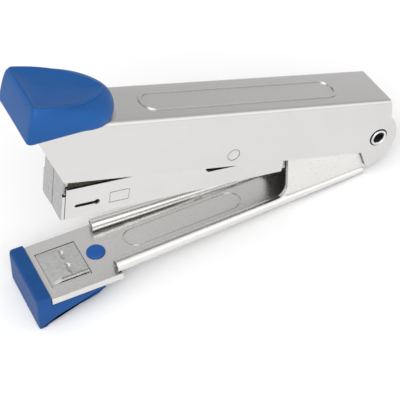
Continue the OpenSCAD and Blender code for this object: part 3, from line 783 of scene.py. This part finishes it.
def make_rivet():
    high = millimetres("hinge_rivet", BASE)[1]
    end, r = high.y, high.x
    bore = r - 0.35
    half = [(bore, 0.0), (bore, end - 0.45), (bore + 0.05, end - 0.2), (bore + 0.18, end - 0.05),
            (bore + 0.36, end), (r + 0.12, end - 0.04), (r + 0.27, end - 0.14), (r + 0.3, end - 0.27),
            (r + 0.22, end - 0.36), (r, end - 0.42), (r, 0.0)]
    profile = half + [(a, -h) for a, h in half[-2:0:-1]]
    shape = Shape()
    turned(shape, profile, (0, 0, 0), (0, 1, 0), closed=True)
    stand_for(shape.build("hollow_rivet", BASE, "rivet_plate", 60), "hinge_rivet", "base")


def make_staples():
    low, high = millimetres("staple_strip", MAG)
    wire, pitch = 0.5, 0.51
    count = round((high.x - low.x) / pitch)
    half, top, foot = high.y, high.z, low.z
    middle = [(half - wire / 2, foot)] + [(y, z) for y, z in arc(half - 0.55, top - 0.55, 0.3, 0, 90, 6)]
    path = middle + [(-y, z) for y, z in reversed(middle)]
    shape = Shape()
    for k in range(count):
        x = high.x - pitch * (k + 0.5)
        rings = []
        for i, (y, z) in enumerate(path):
            a, b = path[max(i - 1, 0)], path[min(i + 1, len(path) - 1)]
            size = math.hypot(b[0] - a[0], b[1] - a[1])
            ny, nz = -(b[1] - a[1]) / size, (b[0] - a[0]) / size
            hw, cut = wire / 2 - 0.01, 0.09
            ring = [(x + u * 0.9, y + ny * v, z + nz * v) for u, v in
                    ((hw, hw - cut), (hw - cut, hw), (cut - hw, hw), (-hw, hw - cut),
                     (-hw, cut - hw), (cut - hw, -hw), (hw - cut, -hw), (hw, cut - hw))]
            rings.append(ring)
        ends = shape.loft(rings)
        shape.cap(ends[0])
        shape.cap(ends[-1])
    stand_for(shape.build("staples", MAG, "staple_zinc", 50), "staple_strip", "magazine")


COIL_R, WIRE_R, COIL_TURNS = 2.45, 0.35, 2
COIL_NEAR, COIL_FAR = 0.35, 3.4


def torsion_spring(name, node, frame_matrix, tip_a, tip_b, y0, y1):
    """Wire from tip a on one body, round the rivet, to tip b on the next one."""
    reach_a, reach_b = math.hypot(*tip_a), math.hypot(*tip_b)
    start = math.atan2(tip_a[1], tip_a[0]) - math.acos(COIL_R / reach_a)
    stop = math.atan2(tip_b[1], tip_b[0]) + math.acos(COIL_R / reach_b)
    sweep = 2 * math.pi * COIL_TURNS + stop - start
    steps = 84
    path = line((tip_a[0], y0, tip_a[1]), (COIL_R * math.cos(start), y0, COIL_R * math.sin(start)), 5)
    for i in range(steps + 1):
        q = start + sweep * i / steps
        path.append((COIL_R * math.cos(q), y0 + (y1 - y0) * i / steps, COIL_R * math.sin(q)))
    last = (COIL_R * math.cos(stop), y1, COIL_R * math.sin(stop))
    path += line(last, (tip_b[0], y1, tip_b[1]), 5)[1:] + [(tip_b[0], y1, tip_b[1])]
    shape = Shape()
    tube(shape, path, WIRE_R, 12)
    thing = shape.build(name, frame_matrix, "spring_wire", 60)
    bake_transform(thing)
    stand_for(thing, node, None)


def make_pusher_spring():
    low, high = millimetres("pusher_spring", MAG)
    r = (high.y - low.y) / 2 - 0.2
    z = (low.z + high.z) / 2
    x0, x1 = low.x + 0.2, high.x - 0.2
    turns, steps = 11, 26
    path = []
    for i in range(turns * steps + 1):
        t = i / (turns * steps)
        flat = t * turns
        from_end = min(flat, turns - flat)
        if from_end >= 1:
            along = flat - 0.5
        else:
            closed = 0.5 * from_end * from_end
            along = closed if flat < 1 else turns - 1 - closed
        x = x0 + (x1 - x0) * along / (turns - 1)
        q = 2 * math.pi * flat
        path.append((x, r * math.cos(q), z + r * math.sin(q)))
    shape = Shape()
    tube(shape, path, 0.2, 10, ref=(1, 0, 0))
    thing = shape.build("feed_spring", MAG, "spring_wire", 60)
    stand_for(thing, "pusher_spring", "magazine")
    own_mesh(thing)


MAG_FRONT = millimetres("magazine_channel", MAG)[1].x
HANDLE_FRONT = millimetres("handle_cover", HANDLE)[1].x


def magazine_face(middle, normal):
    """0 wall, 2 front flange in a darker steel as painted shade, 3 the seam behind it, painted black as
    shadow.
    """
    if MAG_FRONT - 0.9 < middle.x < MAG_FRONT - 0.45 and abs(middle.y) > 5.1 and middle.z < 1.35:
        return 3
    if middle.x > MAG_FRONT - 0.62 and normal.x > 0.6:
        return 2
    if middle.x > MAG_FRONT - 0.9 and middle.z > 1.15 and abs(normal.y) > 0.6:
        return 2
    return 0


def handle_face(middle, normal):
    """0 outside, 2 the inside, in a darker steel as painted shade, since light hardly reaches it."""
    inner_y, inner_z = 6.15, 9.35
    inside = abs(middle.y) < inner_y and middle.z < inner_z
    return 2 if inside else 0


sheet_copy("magazine_channel", "magazine_shell", MAG, "magazine",
           ("magazine_plate", "painted_edge_highlight", "flange_painted_shade", "seam_shadow"), 0.08 * MM, magazine_face)
sheet_copy("handle_cover", "handle_shell", HANDLE, "handle",
           ("handle_plate", "painted_edge_highlight", "inner_painted_shade"), 0.16 * MM, handle_face)
sheet_copy("base_frame", "base_shell", BASE, "base",
           ("base_steel", "painted_edge_highlight"), 0.12 * MM, lambda middle, normal: 0)
make_cap()
make_shoe()
make_plug()
make_anvil()
make_rivet()
make_staples()
torsion_spring("lift_spring", "return_spring", BASE, (14, -9.54), (27.37, -1.34),
               -COIL_FAR, -COIL_NEAR)
torsion_spring("handle_lift_spring", "handle_spring", MAG, (28.6, -4.1), (22.63, 11.9),
               COIL_NEAR, COIL_FAR)
make_pusher_spring()
